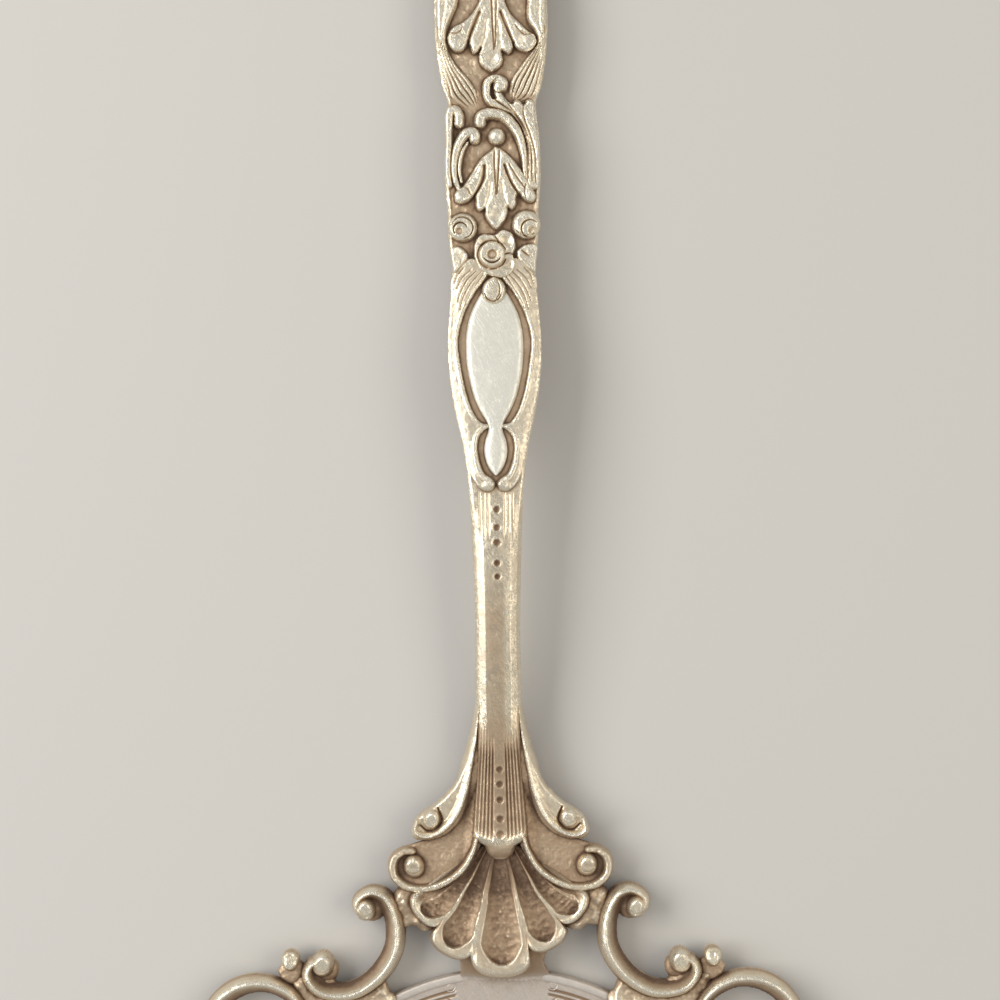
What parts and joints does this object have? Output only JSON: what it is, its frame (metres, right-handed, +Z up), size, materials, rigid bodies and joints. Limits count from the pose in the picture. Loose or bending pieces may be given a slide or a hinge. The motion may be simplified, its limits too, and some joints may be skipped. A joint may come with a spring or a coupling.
{
  "type": "cake server",
  "caption": "Ornate silver cake server: flat spade blade with a pierced scroll gallery, a scallop shell at its heel and an arched handle with roses, leaves and scrolls.",
  "frame": {"origin": "middle of the blade's flat underside", "axes": "+Y along the handle, away from the blade; +Z up, out of the ornamented face; +X to the right seen from above with the handle away"},
  "size_m": [0.0858, 0.266, 0.01],
  "materials": {
    "cast_silver": "warm silver castings, satin, darkened in their hollows",
    "oxidised_silver": "silver ground, oxidised brown between the castings",
    "polished_silver": "plain polished silver with fine wear scratches"
  },
  "bodies": {
    "root": {"blade": "polished_silver", "heel_plate": "oxidised_silver", "gallery_plate_left": "oxidised_silver", "gallery_plate_right": "oxidised_silver", "shell": "cast_silver", "shoulder_scroll_left": "cast_silver", "shoulder_scroll_right": "cast_silver", "cheek_scroll_left": "cast_silver", "cheek_scroll_right": "cast_silver", "bracket_scroll_left": "cast_silver", "bracket_scroll_right": "cast_silver", "ring_scroll_left": "cast_silver", "ring_scroll_right": "cast_silver", "gallery_bud_left": "cast_silver", "gallery_bud_right": "cast_silver", "side_scroll_left": "cast_silver", "side_scroll_right": "cast_silver", "handle_bar": "oxidised_silver", "cartouche_plate": "polished_silver", "cartouche_drop": "polished_silver", "cartouche_frame_left": "cast_silver", "cartouche_frame_right": "cast_silver", "cartouche_bud": "cast_silver", "rose_centre": "cast_silver", "rose_left": "cast_silver", "rose_right": "cast_silver", "leaf_left": "cast_silver", "leaf_right": "cast_silver", "lower_acanthus": "cast_silver", "spray_bead": "cast_silver", "long_scroll": "cast_silver", "outer_scroll": "cast_silver", "inner_scroll": "cast_silver", "crook_scroll": "cast_silver", "upper_acanthus": "cast_silver", "swag_left": "cast_silver", "swag_right": "cast_silver", "terminal_scroll_left": "cast_silver", "terminal_scroll_right": "cast_silver", "terminal_palmette": "cast_silver", "terminal_bead": "cast_silver"}
  },
  "joints": []
}
